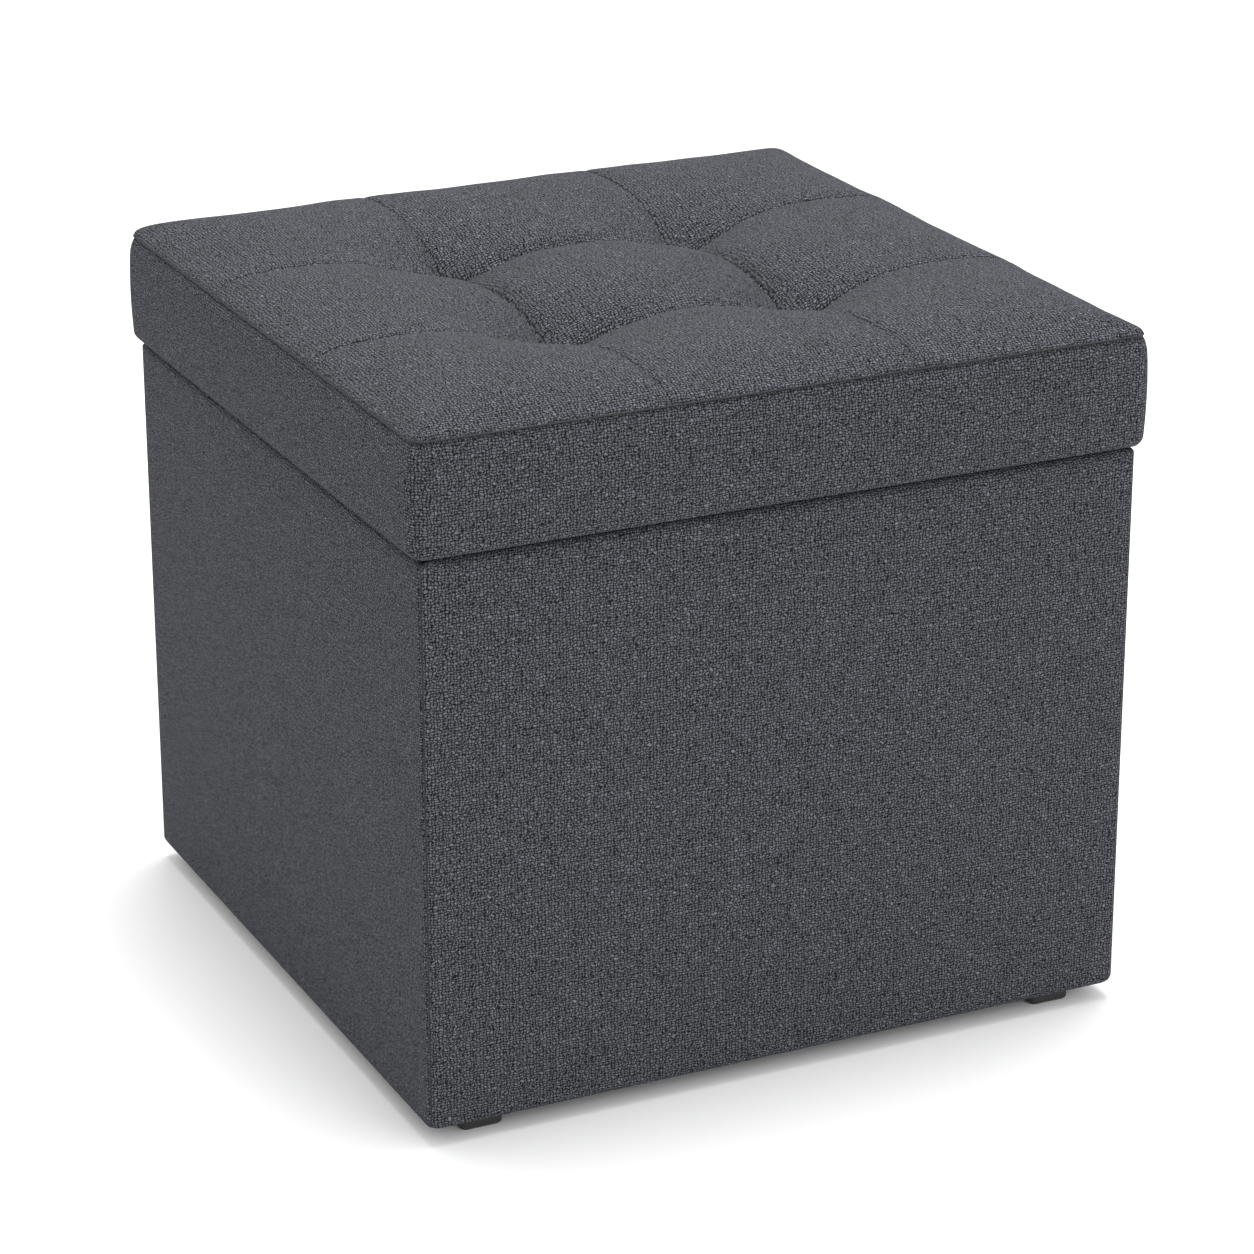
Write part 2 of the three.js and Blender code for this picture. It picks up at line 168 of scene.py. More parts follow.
def new_finish(name, roughness, **constants):
    """A material with one Principled shader; constants go straight on the shader's own sockets."""
    finish = bpy.data.materials.new(name)
    finish.use_nodes = True
    shader = finish.node_tree.nodes["Principled BSDF"]
    shader.inputs["Roughness"].default_value = roughness
    for socket, value in constants.items():
        shader.inputs[socket.replace("_", " ")].default_value = value
    return finish, Wire(finish.node_tree), shader


def plug_in(wire, shader, colour, relief, depth, roughness=None):
    """Links a colour, a relief in units of depth metres, and maybe a roughness to the shader."""
    wire.tree.links.new(colour.socket, shader.inputs["Base Color"])
    if roughness is not None:
        wire.tree.links.new(roughness.socket, shader.inputs["Roughness"])
    bump = wire.node("ShaderNodeBump", {}, {"Height": relief, "Distance": depth, "Strength": 1.0}, "Normal")
    wire.tree.links.new(bump.socket, shader.inputs["Normal"])


# %% [markdown]
# ## Linen-look weave
# The cloth is a plain weave of slubby polyester: each thread has its own tone and thickens and thins
# along its length. The surface carries its cut in metres as UVs, so one formula draws every panel at the
# same scale: thread index from the floor of the distance over the pitch, a rounded section across each
# thread, and a chequer that says whether warp or weft is on top.

# %% The weave
THREAD_PITCH = 1.45 * MM
THREAD_DEPTH = 0.45 * MM
WARP_OVER_WEFT = 1.22       # the warp is set a little wider than the weft
DRIFT = 1.8                 # how far the whole weave wanders, in threads
CURL = 1.7                  # how far single threads curl
INDEX_START = 4000.0        # keeps every thread index positive
# CLOTH_DARK is reached at the thread edges and in the gaps between threads: painted shade
CLOTH_DARK = (0.0032, 0.0035, 0.0050, 1)
CLOTH_LIGHT = (0.158, 0.165, 0.188, 1)


def rounded(share):
    """A parabola over a thread's width: 0 at its edges and 1 along its middle."""
    return 4.0 * share * (1.0 - share)


def weave(name, pitch, dark, light):
    finish, wire, shader = new_finish(name, 0.95, Sheen_Weight=0.02, Sheen_Roughness=0.5,
                                      Specular_IOR_Level=0.1)
    cut = wire.node("ShaderNodeUVMap", {"uv_map": "cut"})
    drift = (noise_of(wire, cut, 240.0, 2.0, 0.6) - 0.5) * DRIFT
    curl = noise_of(wire, cut, 420.0, 1.0) * CURL
    run = wire.node("ShaderNodeSeparateXYZ", {}, {0: cut}, "X")
    drop = wire.node("ShaderNodeSeparateXYZ", {}, {0: cut}, "Y")
    across = run / (pitch * WARP_OVER_WEFT) + drift + curl + INDEX_START
    along = drop / pitch + drift - curl + INDEX_START
    warp, weft = across.math("FLOOR", across), along.math("FLOOR", along)
    warp_round, weft_round = rounded(across - warp), rounded(along - weft)
    on_top = wire.math("MODULO", warp + weft, 2.0)
    warp_relief = warp_round * weft_round ** 0.4 * 0.9
    weft_relief = weft_round * warp_round ** 0.4
    relief = on_top * warp_relief + (1.0 - on_top) * weft_relief
    warp_tone = noise_of(wire, at(wire, warp * 3.7, along * 0.22), 1.0, 2.0, 0.7)
    weft_tone = noise_of(wire, at(wire, weft * 3.7, across * 0.22, 9.0), 1.0, 2.0, 0.7)
    tone = on_top * warp_tone + (1.0 - on_top) * weft_tone
    slubs = noise_of(wire, at(wire, across * 0.7, along * 1.3), 1.0, 2.0, 0.6)
    thread = 0.40 + (tone - 0.5) * 0.65 + (slubs - 0.5) * 0.25
    # Colour follows the relief: each thread's own tone times its roundness, so thread edges and gaps fall to
    # near black as painted shade
    shade = wire.node("ShaderNodeClamp", {}, {0: thread * relief ** 1.9 * 2.2})
    colour = blend_colours(wire, shade, dark, light)
    plug_in(wire, shader, colour, relief * (0.6 + tone * 0.8), THREAD_DEPTH)
    return finish


linen = weave("linen_weave", THREAD_PITCH, CLOTH_DARK, CLOTH_LIGHT)
print("weave pitch in mm:", round(THREAD_PITCH / MM, 2))

# %% [markdown]
# ## The other finishes
# The lining and the under-cloths are spun-bonded: fibres pressed together in a grid of small dots. The
# boards are pressed wood fibre, the rails sawn pine, the glides moulded plastic with a fine grain, and
# the screws and washers zinc plated. They are drawn in the model's own space, since they have no cut.

# %% Plain finishes
def place_of(wire):
    return wire.node("ShaderNodeTexCoord", output="Object")


def stretched(wire, where, x, y, z):
    settings = {"operation": "MULTIPLY"}
    return wire.node("ShaderNodeVectorMath", settings, {0: where, 1: (x, y, z)})


def mottled(name, dark, light, scale, roughness, depth, stretch=(1, 1, 1), **constants):
    """A finish whose colour and relief both follow one noise."""
    finish, wire, shader = new_finish(name, roughness, **constants)
    where = stretched(wire, place_of(wire), *stretch)
    grain = noise_of(wire, where, scale, 4.0, 0.6)
    ramp = wire.node("ShaderNodeMapRange", {}, {0: grain, 1: 0.3, 2: 0.7})
    fine = noise_of(wire, where, scale * 3.1, 2.0, 0.5)
    plug_in(wire, shader, blend_colours(wire, ramp, dark, light), grain + fine * 0.4, depth,
            roughness=fine * 0.16 + (roughness - 0.08))
    return finish


board_finish = mottled("fibreboard", (0.30, 0.20, 0.12, 1), (0.47, 0.34, 0.21, 1), 700, 0.82, 0.15 * MM)
pine_finish = mottled("pine", (0.55, 0.36, 0.17, 1), (0.78, 0.60, 0.36, 1), 260, 0.6, 0.1 * MM,
                      (0.08, 0.08, 1))
foam_finish = mottled("foam", (0.62, 0.55, 0.30, 1), (0.80, 0.74, 0.48, 1), 1500, 0.95, 0.3 * MM)
plastic_finish = mottled("black_plastic", grey(0.012), grey(0.020), 2600, 0.42, 0.03 * MM)
zinc_finish = mottled("zinc_screw", (0.48, 0.50, 0.53, 1), (0.68, 0.70, 0.73, 1), 900, 0.34, 0.02 * MM,
                      Metallic=1.0)
# The thread is near black, far darker than the cloth: it paints the shade in the seam grooves and stitched
# creases as thin dark lines
dark_thread_as_seam_shade = mottled("thread", (0.004, 0.0045, 0.006, 1), (0.015, 0.016, 0.020, 1), 2500, 0.7, 0.05 * MM)
print("finishes so far:", len(bpy.data.materials))


# %% Twine and spun-bonded cloth
def twisted_twine():
    finish, wire, shader = new_finish("twine", 0.8)
    ply = wire.node("ShaderNodeTexWave", {"bands_direction": "DIAGONAL"},
                    {"Vector": place_of(wire), "Scale": 260.0, "Distortion": 1.5}, "Fac")
    colour = blend_colours(wire, ply, (0.30, 0.27, 0.20, 1), (0.62, 0.57, 0.46, 1))
    plug_in(wire, shader, colour, ply, 0.2 * MM)
    return finish


def spun_bonded():
    finish, wire, shader = new_finish("nonwoven_cloth", 0.85, Sheen_Weight=0.08)
    cut = wire.node("ShaderNodeUVMap", {"uv_map": "cut"})
    dots = wire.node("ShaderNodeTexVoronoi", {"feature": "F1"},
                     {"Vector": cut, "Scale": 620.0, "Randomness": 0.12}, "Distance")
    pressed = wire.node("ShaderNodeMapRange", {}, {0: dots, 1: 0.18, 2: 0.42})
    fibres = noise_of(wire, cut, 2600.0, 4.0, 0.7)
    cloud = noise_of(wire, cut, 40.0, 3.0, 0.6)
    shade = pressed * 0.35 + fibres * 0.4 + cloud * 0.35
    plug_in(wire, shader, blend_colours(wire, shade, (0.006, 0.006, 0.007, 1), (0.045, 0.047, 0.052, 1)),
            pressed + fibres * 0.5, 0.15 * MM)
    return finish


twine_finish = twisted_twine()
lining_finish = spun_bonded()

# %% [markdown]
# ## Boards, rails, glides and screws
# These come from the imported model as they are, so each only gets its finish. Sawn and moulded edges are
# never knife sharp. A bevel modifier eases them without touching the mesh itself.

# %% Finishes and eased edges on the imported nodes
EASED_EDGE = {"wall_": 2.5, "floor_board": 1.0, "lid_board": 1.0, "locating_rail_": 1.2, "foot_": 0.7}
NODE_FINISH = {"wall_": board_finish, "floor_board": board_finish, "lid_board": board_finish,
               "locating_rail_": pine_finish, "foot_screw_": zinc_finish, "foot_": plastic_finish,
               "corner_screw_": zinc_finish, "floor_screw_": zinc_finish, "rail_screw_": zinc_finish,
               "tuft_washer_": zinc_finish, "tuft_cord_": twine_finish}


def dress(node, piece):
    start = next((key for key in NODE_FINISH if node.startswith(key)), None)
    if start is None:
        return
    piece.data.materials.clear()
    piece.data.materials.append(NODE_FINISH[start])
    if start in EASED_EDGE:
        eased = piece.modifiers.new("eased edges", "BEVEL")
        eased.width = EASED_EDGE[start] * MM
        eased.segments = 3
        eased.limit_method = "ANGLE"
        eased.angle_limit = math.radians(50)


for node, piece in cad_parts.items():
    dress(node, piece)
print("packed nodes dressed:", sum(any(n.startswith(k) for k in NODE_FINISH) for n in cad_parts))

# %% [markdown]
# ## Building surfaces
# Nearly every piece here is a section carried along a path: cover strips, the lid's band, the lining.
# So one function turns a grid of points into a mesh, writes the cut as UVs, and closes it.

# %% A mesh from a grid of points
def grid_mesh(name, points, cut, finish, loop_rows=False, loop_columns=False, caps=False):
    """points[row][column] in metres; cut has one more row or column than points where that way loops."""
    rows, columns = points.shape[:2]
    last_row = rows if loop_rows else rows - 1
    last_column = columns if loop_columns else columns - 1
    faces, corners = [], []
    for i in range(last_row):
        for j in range(last_column):
            around = [(i, j), (i + 1, j), (i + 1, j + 1), (i, j + 1)]
            faces.append([(a % rows) * columns + b % columns for a, b in around])
            corners.extend(cut[a][b] for a, b in around)
    if caps:
        for i, order in ((0, range(columns)), (rows - 1, range(columns - 1, -1, -1))):
            faces.append([i * columns + j for j in order])
            corners.extend(cut[i][j] for j in order)
    mesh = bpy.data.meshes.new(name)
    mesh.from_pydata(points.reshape(-1, 3).tolist(), [], faces)
    layer = mesh.uv_layers.new(name="cut")
    layer.data.foreach_set("uv", np.array(corners, np.float32).ravel())
    mesh.shade_smooth()
    mesh.materials.append(finish)
    piece = bpy.data.objects.new(name, mesh)
    bpy.context.scene.collection.objects.link(piece)
    return piece


def face_outwards(piece):
    work = bmesh.new()
    work.from_mesh(piece.data)
    bmesh.ops.recalc_face_normals(work, faces=work.faces)
    work.to_mesh(piece.data)
    work.free()
    return piece


def arc(centre, radius, start, end, steps):
    """Points on an arc, angles in degrees."""
    angles = np.radians(np.linspace(start, end, steps + 1))
    return [(centre[0] + radius * math.cos(a), centre[1] + radius * math.sin(a)) for a in angles]


def spaced(points, step):
    """The same outline with extra points, so that no stretch is longer than step."""
    out = [points[0]]
    for a, b in zip(points, points[1:]):
        count = max(1, math.ceil(math.dist(a, b) / step))
        out += [tuple(np.array(a) + (np.array(b) - np.array(a)) * k / count) for k in range(1, count + 1)]
    return out


def lengths(points, closed=False):
    """Distance along an outline at each of its points."""
    steps = [math.dist(a, b) for a, b in zip(points, points[1:] + points[:1] if closed else points[1:])]
    return np.concatenate([[0], np.cumsum(steps)])


# %% [markdown]
# ## Box cover
# Four sewn panels wrap the boards. Each comes up from under the floor, over a softly rounded rim and
# 40 mm down inside, and neighbours meet in a corner seam whose edges are turned in, which leaves a dark
# V down each corner. A box with a bump could fake that, but the seam is what catches the light, so the
# panel is a real section carried along the wall with its last few millimetres turned in.

# %% Panel section
COVER = 1.6 * MM
RIM_RADIUS = 6.0 * MM
RIM_INNER_RADIUS = 4.0 * MM
HEM_RADIUS = 5.0 * MM
TURN_UNDER = 27.0 * MM
RIM_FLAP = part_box("cover_front")[1].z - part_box("lining_walls")[1].z
RIM_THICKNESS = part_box("lining_walls")[0].x - box_low.x + 2.0 * MM


def panel_face(thick=0.0):
    """One face of the panel as (distance in from the wall's face, height), from under the floor to inside."""
    rim, inner, hem = RIM_RADIUS - thick, RIM_INNER_RADIUS - thick, HEM_RADIUS - thick
    line = [(TURN_UNDER, HEM_Z + thick)]
    line += arc((HEM_RADIUS, HEM_Z + HEM_RADIUS), hem, 270, 180, 6)
    line += arc((RIM_RADIUS, RIM_Z - RIM_RADIUS), rim, 180, 90, 8)
    line += arc((RIM_THICKNESS - RIM_INNER_RADIUS, RIM_Z - RIM_INNER_RADIUS), inner, 90, 0, 6)
    line += [(RIM_THICKNESS - thick, RIM_Z - RIM_FLAP)]
    return line


def panel_outline():
    outer = spaced(panel_face(), 9.0 * MM)
    inner = spaced(panel_face(COVER), 24.0 * MM)
    return outer, inner[::-1]


# %% Panels and their seams
CORNER_RADIUS = 3.2 * MM
SEAM_DEPTH = 1.3 * MM
SEAM_SOFTNESS = 1.7 * MM
CORNER_PULL = 0.55
CORNER_PULL_REACH = 9.0 * MM
PANEL_STEP = 7.0 * MM


def corner_point(inset, reach, half_length):
    """Plan place on the panel's face line moved in by inset: reach runs from -1 to 1, seam to seam."""
    radius = max(CORNER_RADIUS - inset, 0.0)
    straight = half_length - max(CORNER_RADIUS, inset)
    total = straight + radius * math.pi / 4
    walked = abs(reach) * total
    side = math.copysign(1.0, reach)
    if walked <= straight or radius == 0.0:
        return side * walked, inset, (0.0, 1.0), total - walked
    angle = (walked - straight) / radius
    x = half_length - CORNER_RADIUS + radius * math.sin(angle)
    y = CORNER_RADIUS - radius * math.cos(angle)
    return side * x, y, (-side * math.sin(angle), math.cos(angle)), total - walked


def fuller_rim(inset, height, from_end):
    """Near a corner the rim is stretched over the boards' corner, so its rounding is tighter there."""
    if height < RIM_Z - RIM_RADIUS or inset > RIM_RADIUS:
        return inset, height
    pull = CORNER_PULL * math.exp(-((from_end / CORNER_PULL_REACH) ** 2))
    return inset * (1 - pull), height + (RIM_Z - height) * pull


def seam_reaches(half_length):
    """Places along a panel: close together by the seams, wider in the middle."""
    near = np.array([0.0, 0.35, 0.8, 1.3, 1.9, 2.7, 3.8, 5.5, 8.5, 13.0]) * MM
    count = math.ceil(2 * (half_length - near[-1]) / PANEL_STEP)
    middle = np.linspace(-(half_length - near[-1]), half_length - near[-1], count + 1)[1:-1]
    return np.concatenate([-(half_length - near), middle, (half_length - near)[::-1]]) / half_length


def section_inward(outline, k):
    """Unit direction into the padding at a point of the panel's outer face: (plan part, height part)."""
    a, b = outline[max(k - 1, 0)], outline[min(k + 1, len(outline) - 1)]
    run, rise = b[0] - a[0], b[1] - a[1]
    size = math.hypot(run, rise)
    return rise / size, -run / size


def outer_point(outer, k, reach, half_length, half_across):
    """Place of the outer face's point k, pressed in along its own inward direction near the seam."""
    inset, height = fuller_rim(*outer[k], (1 - abs(reach)) * half_length)
    x, y, inward, from_seam = corner_point(inset, reach, half_length)
    groove = SEAM_DEPTH * math.exp(-((from_seam / SEAM_SOFTNESS) ** 1.4))
    in_plan, in_height = section_inward(outer, k)
    return (x + inward[0] * in_plan * groove, y - half_across + inward[1] * in_plan * groove,
            height + in_height * groove)


def cover_panel(name, half_length, half_across, turned):
    outer, inner = panel_outline()
    walked = lengths(outer + inner, closed=True)
    rows, cut = [], []
    for reach in seam_reaches(half_length):
        row = [outer_point(outer, k, reach, half_length, half_across) for k in range(len(outer))]
        for inset, height in inner:
            x, y = corner_point(inset, reach, half_length)[:2]
            row.append((x, y - half_across, height))
        rows.append(row)
        cut.append([(reach * half_length, w) for w in walked])
    piece = grid_mesh(name, np.array(rows), cut, linen, loop_columns=True, caps=True)
    piece.data.transform(Matrix.Rotation(math.radians(turned), 4, "Z"))
    return face_outwards(piece)


PANELS = {"front": (HALF_X, HALF_Y, 0), "right": (HALF_Y, HALF_X, 90),
          "back": (HALF_X, HALF_Y, 180), "left": (HALF_Y, HALF_X, -90)}
for side, (half_length, half_across, turned) in PANELS.items():
    panel = cover_panel(f"{side}_cover_panel", half_length, half_across, turned)
    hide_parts(f"cover_{side}")
    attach(panel, "box")
    drop = lengths(panel_face())[-1]
    print(panel.name, "is cut", round(2 * half_length, 3), "by", round(drop, 3), "m")

# %% [markdown]
# ## Corner seams
# Two panels are joined by a line of thread in the bottom of each corner's V. The thread is near black, so it
# paints the shade in the bottom of the V as a dark line. It could be a dark line in the cloth's colour, but a
# real thread also closes the gap, so it is swept along the panels' own section.

# %% Thread in the corner seams
SEAM_THREAD = 0.5 * MM


def ring(centre, aside, upward, radius, sides):
    """Points of a circle round centre, in the plane of the two directions."""
    turns = [2 * math.pi * n / sides for n in range(sides)]
    return [tuple(centre + (aside * math.cos(t) + upward * math.sin(t)) * radius) for t in turns]


def thread_along(name, points, radius, closed=False, sides=8):
    """A round thread swept along points, joined up if closed and otherwise capped."""
    points = [Vector(p) for p in points]
    count = len(points)
    rows = []
    for k, point in enumerate(points):
        if closed:
            before, after = points[k - 1], points[(k + 1) % count]
        else:
            before, after = points[max(k - 1, 0)], points[min(k + 1, count - 1)]
        along = (after - before).normalized()
        aside = along.cross(Vector((0.3, 0.95, 0.1))).normalized()
        rows.append(ring(point, aside, aside.cross(along), radius, sides))
    walked = lengths([tuple(p) for p in points], closed=closed)
    cut = [[(n * radius, w) for n in range(sides + 1)] for w in walked]
    thread = grid_mesh(name, np.array(rows), cut, dark_thread_as_seam_shade, loop_rows=closed, loop_columns=True,
                       caps=not closed)
    return face_outwards(thread)


def corner_seam(name, turned):
    """The thread of one corner, from under the floor over the rim, in the bottom of its V."""
    outer = spaced(panel_face(), 6.0 * MM)
    path = [outer_point(outer, k, 1.0, HALF_X, HALF_Y) for k in range(len(outer))]
    piece = thread_along(name, path, SEAM_THREAD)
    piece.data.transform(Matrix.Rotation(math.radians(turned), 4, "Z"))
    return piece


for name, turned in (("front_right", 0), ("back_right", 90), ("back_left", 180), ("front_left", -90)):
    seam = corner_seam(f"corner_seam_{name}", turned)
    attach(seam, "box")
print("corner seams: 4")

# %% [markdown]
# ## Lid
# The lid is a board, a block of foam and a sewn cover: a band round the sides and a top panel. The band
# is one long strip closed at the back. It bulges a little, because the foam inside is squeezed, turns
# under the board at the bottom and is pulled in at the top seam.

# %% Round the lid
LID_RADIUS = 9.0 * MM
BAND = 1.6 * MM
BAND_BULGE = 1.3 * MM
BAND_LOWER_RADIUS = 5.0 * MM
BAND_TURN_UNDER = 21.0 * MM
TOP_SEAM_DEPTH = 2.7 * MM
TOP_SEAM_SOFTNESS = 3.6 * MM
LID_STEP = 6.0 * MM


def rounded_path(half_x, half_y, radius, step):
    """Points and outward directions round a rounded rectangle, anticlockwise from the middle of the back."""
    places, outs = [], []
    legs = [((0, half_y), (-half_x + radius, half_y)),
            ((-half_x, half_y - radius), (-half_x, -half_y + radius)),
            ((-half_x + radius, -half_y), (half_x - radius, -half_y)),
            ((half_x, -half_y + radius), (half_x, half_y - radius)), ((half_x - radius, half_y), (0, half_y))]
    centres = [(-half_x + radius, half_y - radius), (-half_x + radius, -half_y + radius),
               (half_x - radius, -half_y + radius), (half_x - radius, half_y - radius)]
    for k, (start, end) in enumerate(legs):
        out = [(0, 1), (-1, 0), (0, -1), (1, 0), (0, 1)][k]
        stretch = spaced([start, end], step)
        if k == len(centres):
            stretch.pop()            # the path ends where it began
        places += stretch
        outs += [out] * len(stretch)
        if k < len(centres):
            for angle in np.radians(90 * (k + 1) + np.linspace(0, 90, 9)[1:-1]):
                direction = (math.cos(angle), math.sin(angle))
                places.append((centres[k][0] + radius * direction[0], centres[k][1] + radius * direction[1]))
                outs.append(direction)
    return places, outs


def band_section():
    """The band's faces as (distance in, height), from under the board up to the seam."""
    low, high = LID_Z, SEAM_Z
    line = [(BAND_TURN_UNDER, low)]
    line += arc((BAND_LOWER_RADIUS, low + BAND_LOWER_RADIUS), BAND_LOWER_RADIUS, 270, 180, 7)
    line += [(0.0, high)]
    outer = spaced(line, 4.0 * MM)
    shaped = []
    for inset, height in outer:
        share = (height - low) / (high - low)
        bulge = BAND_BULGE * math.sin(math.pi * min(1, share * 1.02)) ** 0.8 if height > low else 0.0
        pinch = TOP_SEAM_DEPTH * math.exp(-(((high - height) / TOP_SEAM_SOFTNESS) ** 1.3))
        shaped.append((inset - bulge + BAND_BULGE * 0.6 * min(1.0, share * 40) + pinch, height))
    back = BAND + 1.2 * MM
    inner = [(BAND + 2.6 * MM, high), (back, high - 9 * MM), (back, low + BAND + 2 * MM),
             (back + 2 * MM, low + BAND), (BAND_TURN_UNDER, low + BAND)]
    return shaped, spaced(inner, 24.0 * MM)


def lid_band():
    outer, inner = band_section()
    outline = outer + inner
    walked = lengths(outline, closed=True)
    places, outs = rounded_path(LID_X, LID_Y, LID_RADIUS, LID_STEP)
    around = lengths(places, closed=True)
    rows, cut = [], []
    for (x, y), (ox, oy) in zip(places, outs):
        rows.append([(x - ox * inset, y - oy * inset, height) for inset, height in outline])
    for distance in around:
        cut.append([(distance, w) for w in walked])
    piece = grid_mesh("lid_side_band", np.array(rows), cut, linen, loop_rows=True, loop_columns=True)
    return face_outwards(piece), around[-1], lengths(outer)[-1]


band, band_length, band_drop = lid_band()
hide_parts("seat_side_band")
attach(band, "lid")
print("the band is cut", round(band_length, 3), "by", round(band_drop, 3), "m")

# %% [markdown]
# ## Top seam
# The band and the top panel meet in one seam all round the lid. Its thread lies in the groove between
# them and, near black, paints the groove's shade as a thin dark line. The same sweep as in the corners draws
# it, closed on itself.

# %% Thread in the top seam
TOP_SEAM_THREAD = 0.55 * MM

seam_x, seam_y, seam_radius = (size - TOP_SEAM_DEPTH for size in (LID_X, LID_Y, LID_RADIUS))
places, _ = rounded_path(seam_x, seam_y, seam_radius, LID_STEP)
top_seam = thread_along("lid_top_seam", [(x, y, SEAM_Z) for x, y in places], TOP_SEAM_THREAD, closed=True)
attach(top_seam, "lid")
print("top seam:", len(places), "places")

# %% [markdown]
# ## Tufted top
# The top panel is divided into nine fields by two stitched lines each way. Where the lines cross, a cord
# pulls the cover down through the foam to the board, and the foam swells between the held places. A
# height formula gives the resting shape: a crown that rolls over into the seam, less a bowl round each
# tuft, less a valley along each line. A cloth simulation then lets the fields swell and wrinkle.

# %% Where the tufts are
tuft_cord_low, tuft_cord_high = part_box("tuft_cord_back_right")
TUFT_X = (tuft_cord_low.x + tuft_cord_high.x) / 2
TUFT_Y = (tuft_cord_low.y + tuft_cord_high.y) / 2
TUFTS = [(sx * TUFT_X, sy * TUFT_Y) for sx in (-1, 1) for sy in (-1, 1)]
print("tufts at, in mm:", round(TUFT_X / MM, 1), round(TUFT_Y / MM, 1))

# %% The roll at the seam
# From the seam the panel rolls up and over. Each point of the roll is a distance in from the lid's side
# and a share of the crown.
CROWN = 11.3 * MM
ROLL_RADIUS = 22.0 * MM
ROLL_RISE = 0.68
CROWN_REACH = 58.0 * MM
SEAM_TUCK = 2.4 * MM
FIELD_EDGE = 60.0 * MM


def crown_share(inset):
    """A quarter round first, then a slow rise to the full crown."""
    steep = math.sqrt(1 - (1 - min(max(inset, 0.0) / ROLL_RADIUS, 1.0)) ** 2)
    slow = 1 - (1 - min(max(inset, 0.0) / CROWN_REACH, 1.0)) ** 2
    return ROLL_RISE * steep + (1 - ROLL_RISE) * slow


close_to_seam = [0, 0.03, 0.12, 0.3, 0.7, 1.3, 2.2, 3.5, 5, 7]
roll_insets = SEAM_TUCK + np.concatenate([close_to_seam, np.arange(9, 57, 2.5)]) * MM
roll_line = [(i, crown_share(i - SEAM_TUCK)) for i in roll_insets] + [(FIELD_EDGE, 1.0)]
roll_walked = lengths([(i, share * CROWN) for i, share in roll_line])
CUT_X = LID_X - FIELD_EDGE + roll_walked[-1]
CUT_Y = LID_Y - FIELD_EDGE + roll_walked[-1]
print("top panel is cut", round(2 * CUT_X, 3), "by", round(2 * CUT_Y, 3), "m")


def on_roll(cut_place, half_cut, half_lid):
    """Plan place for a place on the cut panel, along one of its directions, and its walk from the seam."""
    walked = half_cut - abs(cut_place)
    inset = np.interp(walked, roll_walked, [point[0] for point in roll_line])
    if walked > roll_walked[-1]:
        inset = half_lid - abs(cut_place)
    return math.copysign(half_lid - inset, cut_place), max(walked, 1e-6)


def crown_at(walk_x, walk_y):
    """Share of the crown; near a corner both seams count, so the roll runs on round it."""
    walked = (walk_x ** -5 + walk_y ** -5) ** (-1 / 5)
    return np.interp(walked, roll_walked, [point[1] for point in roll_line])


# %% Bowls and valleys
BOWL_DEPTH = 18.0 * MM
BOWL_REACH = 33.0 * MM
VALLEY_WIDTH = 7.5 * MM
VALLEY_BY_SEAM = 0.6 * MM
VALLEY_BY_TUFT = 8.5 * MM
VALLEY_FADE = 32.0 * MM


def bowl(x, y):
    away = [math.hypot(x - tuft_x, y - tuft_y) / BOWL_REACH for tuft_x, tuft_y in TUFTS]
    return BOWL_DEPTH * sum(math.exp(-(a ** 1.5)) for a in away)


def valley(from_line, past_tuft, share):
    """Depth of the valley at a distance from a line: deep between the tufts, shallow by the seam."""
    fade = math.exp(-((max(0.0, past_tuft) / VALLEY_FADE) ** 2))
    depth = VALLEY_BY_SEAM + (VALLEY_BY_TUFT - VALLEY_BY_SEAM) * fade
    return depth * math.exp(-abs(from_line) / VALLEY_WIDTH) * share


def top_point(u, v):
    x, walk_x = on_roll(u, CUT_X, LID_X)
    y, walk_y = on_roll(v, CUT_Y, LID_Y)
    near_x = min((x - sx * TUFT_X for sx in (-1, 1)), key=abs)
    near_y = min((y - sy * TUFT_Y for sy in (-1, 1)), key=abs)
    both = crown_at(walk_x, walk_y)
    dip = max(valley(near_x, abs(y) - TUFT_Y, both), valley(near_y, abs(x) - TUFT_X, both))
    return (*in_rounded_corner(x, y), SEAM_Z + CROWN * both - bowl(x, y) * both - dip)


def in_rounded_corner(x, y):
    """Moves a place in the square corner of the lid onto the quarter round."""
    dx, dy = abs(x) - (LID_X - LID_RADIUS), abs(y) - (LID_Y - LID_RADIUS)
    if dx <= 0 or dy <= 0:
        return x, y
    scale = max(dx, dy) / math.hypot(dx, dy)
    round_x, round_y = LID_X - LID_RADIUS + dx * scale, LID_Y - LID_RADIUS + dy * scale
    return math.copysign(round_x, x), math.copysign(round_y, y)


# %% The cut panel as a lattice
FIELD_CELL = 4.6 * MM
CROWDING = 0.11             # how much closer the places stand at the ends of a field


def lattice(half_cut, line):
    """Places across the panel, closer together by the stitched lines and the seam."""
    marks = [-half_cut, -line, line, half_cut]
    out = [-half_cut]
    for a, b in zip(marks, marks[1:]):
        share = np.linspace(0, 1, round((b - a) / FIELD_CELL) + 1)[1:]
        out += list(a + (b - a) * (share - CROWDING * np.sin(2 * math.pi * share)))
    return np.array(out)


us, vs = lattice(CUT_X, TUFT_X), lattice(CUT_Y, TUFT_Y)
resting = np.array([[top_point(u, v) for v in vs] for u in us])
top = grid_mesh("seat_top_panel", resting, [[(u, v) for v in vs] for u in us], linen)
print("top panel lattice:", len(us), "by", len(vs), "up to", round(resting[:, :, 2].max() / MM, 1), "mm high")

# %% [markdown]
# ## Letting the cushion swell
# The seam, the stitched lines and the tufts are held, as thread holds them. The cloth between is cut a
# little generous and pressed from below, without gravity, so each field swells by itself. How far a
# point may move is capped, because the foam under the cloth is firm.

# %% Cloth simulation
SWELL_CAP = 5.0 * MM
FRAMES = 20
SMOOTHING = 4
HELD_BY_SEAM = 2.0 * MM
HELD_BY_LINE = 0.1 * MM
HELD_BY_TUFT = 5.0 * MM


